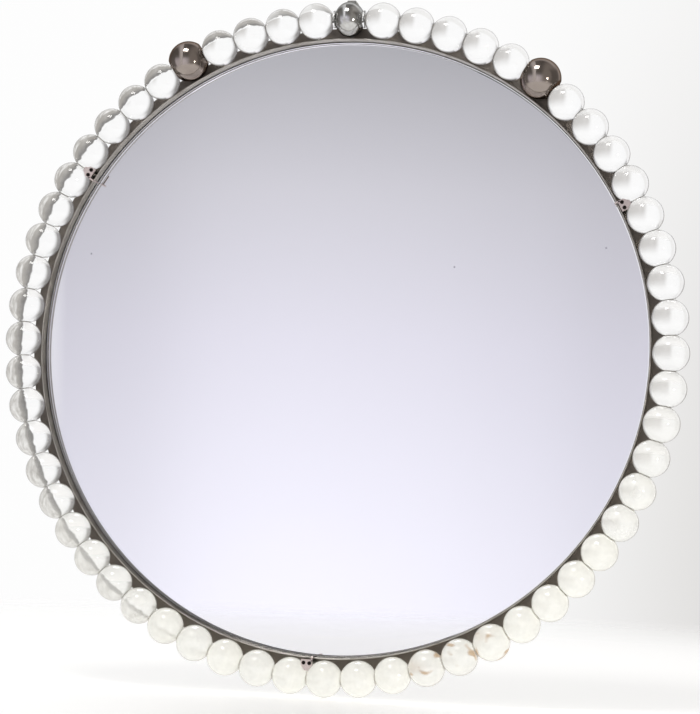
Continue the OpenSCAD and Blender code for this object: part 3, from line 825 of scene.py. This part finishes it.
# a straight bar in the keeper, closed below by a half circle
def hangingRing(shape):
    corner = hook["corner"]
    reach = hook["curve"]
    path = [(x * reach / 6, 0) for x in range(-5, 6)]
    path += arcPoints(reach - corner, -corner, corner, 80, 0, 4)
    path += arcPoints(0, 0, reach, -10, -170, 48)
    path += arcPoints(-reach + corner, -corner, corner, 180, 100, 4)
    middle = Vector((0, hook["height"], hookDepth))
    roundLoop(shape, [Vector((x, y, 0)) + middle for x, y in path], hook["wire"] / 2, 20)


addPiece("hangingRing", meshFrom(hangingRing, "hangingRing"), drawnWire, ["hanger_ring"],
         "hanging_ring")

foot = {"count": 3, "radius": 165 * mm, "diameter": 18 * mm, "height": 8 * mm, "taper": 3 * mm,
        "bore": 3.2 * mm, "recess": 8 * mm, "floor": 3 * mm, "rearEdge": 0.9 * mm, "recessEdge": 0.5 * mm}
footBolt = {"head": 6 * mm, "headHeight": 2 * mm, "shank": 3 * mm, "length": 5 * mm, "slot": 0.8 * mm}
frontRadius, rearRadius = foot["diameter"] / 2, (foot["diameter"] - foot["taper"]) / 2
footRear = -foot["height"]
rearEdge, recessEdge = foot["rearEdge"], foot["recessEdge"]
footProfile = [(foot["bore"] / 2, 0), (frontRadius - 0.4 * mm, 0), (frontRadius, -0.5 * mm),
               (rearRadius + 0.2 * mm, footRear + 1.2 * mm)]
footProfile += arcPoints(rearRadius - rearEdge, footRear + rearEdge, rearEdge, -10, -90, 5)
footProfile += arcPoints(foot["recess"] / 2 + recessEdge, footRear + recessEdge, recessEdge, 270, 180, 4)
footProfile += [(foot["recess"] / 2, -foot["floor"]), (foot["bore"] / 2, -foot["floor"])]
rubberFoot = turnedMesh("rubberFoot", footProfile, 48, True)
addPiece("wallBumpers", copyBehind(rubberFoot, foot["count"], foot["radius"]), mouldedRubber,
         ["bumpers"])
footScrew = slottedScrew("footScrew", footBolt["head"] / 2, 0, footBolt["headHeight"], footBolt["shank"] / 2,
                         -footBolt["length"], footBolt["slot"])
footScrew.transform(Matrix.Translation((0, 0, -foot["floor"])) @ Matrix.Rotation(math.pi, 4, "X"))
addPiece("bumperScrews", copyBehind(footScrew, foot["count"], foot["radius"]),
         hammeredAluminium, ["bumper_screws"])

for node, material in (("back_plate", powderCoat), ("felt_pad", woolFelt), ("clip_posts", zincPlate),
                       ("clip_nuts", turnedBrass), ("ring_keeper", zincPlate)):
    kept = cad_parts[node]
    if not kept.material_slots:
        kept.data.materials.append(material)
    for materialSlot in kept.material_slots:
        materialSlot.material = material


print("stage 8: floor and light")
ground = {"size": 3.0, "below": 0.3 * mm, "fadeFrom": 0.55, "fadeTo": 1.3, "glow": 0.32}
floorPlane = meshFrom(lambda shape: bmesh.ops.create_grid(shape, x_segments=1, y_segments=1,
                                                          size=ground["size"] / 2), "floor")
floorObject = bpy.data.objects.new("floor", floorPlane)
floorObject.location = (0, 0, -ringRadius - ring["ballDiameter"] / 2 - ground["below"])
scene.collection.objects.link(floorObject)
floorPaint, tree, shader, place = newMaterial("whiteLaminate", "#f7f7f6", roughness=0.35)
addBump(tree, shader, noiseAt(tree, place, size=4 * mm, detail=2.0), depth=0.02 * mm)
shader.inputs["Emission Color"].default_value = (1, 1, 1, 1)
shader.inputs["Emission Strength"].default_value = ground["glow"]
distance = addNode(tree, "ShaderNodeVectorMath", {"operation": "LENGTH"}, {0: place}).outputs["Value"]
gone = spanned(tree, distance, ground["fadeFrom"], ground["fadeTo"], 0, 1, True)
clear = addNode(tree, "ShaderNodeBsdfTransparent")
faded = addNode(tree, "ShaderNodeMixShader", {}, {0: gone, 1: shader.outputs[0], 2: clear.outputs[0]})
tree.links.new(faded.outputs[0], tree.nodes["Material Output"].inputs["Surface"])
floorPlane.materials.append(floorPaint)

# linear tones, and the spans of x, y or z of a direction over which each of them comes in
studio = {
    "white": (0.985, 0.985, 0.985, 1),
    "backGrey": (0.66, 0.645, 0.63, 1), "backRight": (-0.17, 0.04), "backLow": (0.42, -0.05),
    "overhead": (-0.1, 0.6), "across": (-0.34, 0.0),
    "rightWall": (0.38, 0.36, 0.34, 1), "rightSpan": (0.0, 0.5),
    "panel": (0.98, 0.98, 1.0, 1), "panelStart": (-0.333, -0.345), "panelEnd": (-0.5, -0.7),
    "forward": (0.5, 0.15),
    "band": (0.2, 0.19, 0.18, 1), "bandBack": (0.7, 0.42), "bandFront": (-0.5, -0.25), "bandLow": (0.8, 0.45),
    "bandMost": 0.9,
    # from low to high in front of the mirror
    "stops": ((0.0, (1.13, 1.12, 1.2, 1)), (0.108, (1.05, 1.035, 1.13, 1)),
              (0.169, (0.98, 0.965, 1.06, 1)), (0.249, (0.88, 0.862, 0.95, 1)),
              (0.35, (0.72, 0.709, 0.757, 1)), (0.41, (0.575, 0.568, 0.6, 1)),
              (0.443, (0.49, 0.486, 0.51, 1)), (0.53, (0.36, 0.355, 0.36, 1)),
              (0.8, (0.24, 0.23, 0.22, 1))),
    # from left to right, as a share of the tone above
    "levels": ((0.0, 0.8), (0.1, 0.87), (0.25, 1.0), (0.45, 1.0), (0.63, 0.93), (0.8, 0.84), (1.0, 0.78)),
}


# the studio round the object: white behind, greyer to the right, a grey fall-off above in front
def buildStudio():
    world = bpy.data.worlds.new("studio")
    scene.world = world
    world.use_nodes = True
    tree = world.node_tree
    tree.nodes.clear()
    direction = addNode(tree, "ShaderNodeTexCoord").outputs["Generated"]
    x, y, z = addNode(tree, "ShaderNodeSeparateXYZ", {}, {"Vector": direction}).outputs

    def comesIn(value, span, most=1):
        return spanned(tree, value, *studio[span], 0, most, True)

    rightLow = mathNode(tree, "MULTIPLY", comesIn(x, "backRight"), comesIn(z, "backLow"))
    back = mixedColor(tree, rightLow, studio["white"], studio["backGrey"])
    ramp = addNode(tree, "ShaderNodeValToRGB", {}, {"Fac": spanned(tree, z, *studio["overhead"], 0, 1)})
    while len(ramp.color_ramp.elements) < len(studio["stops"]):
        ramp.color_ramp.elements.new(1.0)
    for element, (position, color) in zip(ramp.color_ramp.elements, studio["stops"]):
        element.position = position
        element.color = color
    across = addNode(tree, "ShaderNodeFloatCurve", {}, {"Value": spanned(tree, x, *studio["across"], 0, 1)})
    for position, level in studio["levels"]:
        across.mapping.curves[0].points.new(position, level)
    sideways = addNode(tree, "ShaderNodeVectorMath", {"operation": "SCALE"},
                       {0: ramp.outputs["Color"], "Scale": across.outputs[0]}).outputs[0]
    front = mixedColor(tree, comesIn(x, "rightSpan"), sideways, studio["rightWall"])
    panelStart = spanned(tree, x, *studio["panelStart"], 0, 1)
    panelEnd = spanned(tree, x, *studio["panelEnd"], 1, 0)
    front = mixedColor(tree, mathNode(tree, "MULTIPLY", panelStart, panelEnd), front, studio["panel"])
    color = mixedColor(tree, comesIn(y, "forward"), back, front)
    band = mathNode(tree, "MULTIPLY", comesIn(y, "bandBack"), comesIn(y, "bandFront"))
    band = mathNode(tree, "MULTIPLY", band, comesIn(z, "bandLow", studio["bandMost"]))
    color = mixedColor(tree, band, color, studio["band"])
    background = addNode(tree, "ShaderNodeBackground", {}, {"Color": color, "Strength": 1.0})
    addNode(tree, "ShaderNodeOutputWorld", {}, {"Surface": background.outputs[0]})


buildStudio()

lamps = {
    "overheadBox": {"at": (-0.3, -0.9, 1.5), "power": 9, "size": (0.6, 0.45), "color": (1, 0.99, 0.97)},
    "smallLamp": {"at": (1.15, -1.05, -0.05), "power": 2.5, "size": (0.1, 0.1), "color": (1, 0.96, 0.88)},
}
for name, given in lamps.items():
    light = bpy.data.lights.new(name, "AREA")
    light.shape = "RECTANGLE"
    light.size, light.size_y = given["size"]
    light.energy = given["power"]
    light.color = given["color"]
    lamp = bpy.data.objects.new(name, light)
    lamp.location = given["at"]
    lamp.rotation_euler = (-Vector(given["at"])).to_track_quat("-Z", "Y").to_euler()
    lamp.visible_camera = False
    scene.collection.objects.link(lamp)

# a glowing card behind the part that only the glass balls see: painted shadow as a soft grey ring, wider
# towards the left, round a warm white middle of painted light
card = {"radius": 0.2225, "middle": (-0.02, 0, 0), "depth": 30 * mm, "greyEdge": 0.2215, "greyWidth": 11 * mm,
        "innerEdge": 0.211, "innerMiddle": (-0.0218, 0, -0.0075), "soft": 4 * mm, "cut": 2 * mm,
        "towards": (-0.985, 0, 0.174), "wave": 3 * mm, "waveSize": 11 * mm, "streakSize": 8 * mm,
        "greyInner": (0.42, 0.4, 0.375, 1), "greyOuter": (0.2, 0.195, 0.19, 1),
        "rightSide": (0.9, 0.895, 0.885, 1), "middleDark": (0.5, 0.48, 0.45, 1),
        "middleLight": (0.88, 0.87, 0.85, 1)}
disc = meshFrom(lambda shape: bmesh.ops.create_circle(shape, cap_ends=True, segments=96,
                                                      radius=card["radius"]), "card")
disc.transform(Matrix.Translation(card["middle"]) @ standUp)
cardObject = bpy.data.objects.new("card", disc)
cardObject.location = (0, card["depth"], 0)
scene.collection.objects.link(cardObject)
paint = bpy.data.materials.new("paintedShadowAndLightCard")
paint.use_nodes = True
tree = paint.node_tree
tree.nodes.clear()
place = addNode(tree, "ShaderNodeTexCoord").outputs["Object"]
ripples = noiseAt(tree, place, card["waveSize"], detail=2.0)
waves = spanned(tree, ripples, 0.3, 0.7, -card["wave"] / 2, card["wave"] / 2)


def wavyReach(middle):
    reach = addNode(tree, "ShaderNodeVectorMath", {"operation": "DISTANCE"}, {0: place, 1: middle})
    return mathNode(tree, "ADD", reach.outputs["Value"], waves)


outerReach = wavyReach(card["middle"])
innerReach = wavyReach(card["innerMiddle"])
heading = addNode(tree, "ShaderNodeVectorMath", {"operation": "NORMALIZE"}, {0: place}).outputs["Vector"]
aligned = addNode(tree, "ShaderNodeVectorMath", {"operation": "DOT_PRODUCT"},
                  {0: heading, 1: card["towards"]}).outputs["Value"]
darker = spanned(tree, outerReach, card["greyEdge"] - card["greyWidth"], card["greyEdge"], 0, 1, True)
shade = mixedColor(tree, darker, card["greyInner"], card["greyOuter"])
outside = spanned(tree, outerReach, card["greyEdge"] - card["cut"], card["greyEdge"], 0, 1, True)
shade = mixedColor(tree, outside, shade, studio["white"])
streaks = noiseAt(tree, place, card["streakSize"], detail=2.0, stretch=(1, 1, 0.5))
streaks = spanned(tree, streaks, 0.35, 0.65, 0, 1)
middleShade = mixedColor(tree, streaks, card["middleDark"], card["middleLight"])
inside = spanned(tree, innerReach, card["innerEdge"] - card["soft"], card["innerEdge"], 1, 0, True)
shade = mixedColor(tree, inside, shade, middleShade)
leftOnly = spanned(tree, aligned, 0.2, 0.5, 0, 1, True)
shade = mixedColor(tree, leftOnly, card["rightSide"], shade)
# the card glows: its grey ring is painted shadow, and its white middle and right side are painted light
glow = addNode(tree, "ShaderNodeEmission", {}, {"Color": shade})
addNode(tree, "ShaderNodeOutputMaterial", {}, {"Surface": glow.outputs[0]})
disc.materials.append(paint)
for kind in ("camera", "diffuse", "glossy", "volume_scatter", "shadow"):
    setattr(cardObject, "visible_" + kind, False)
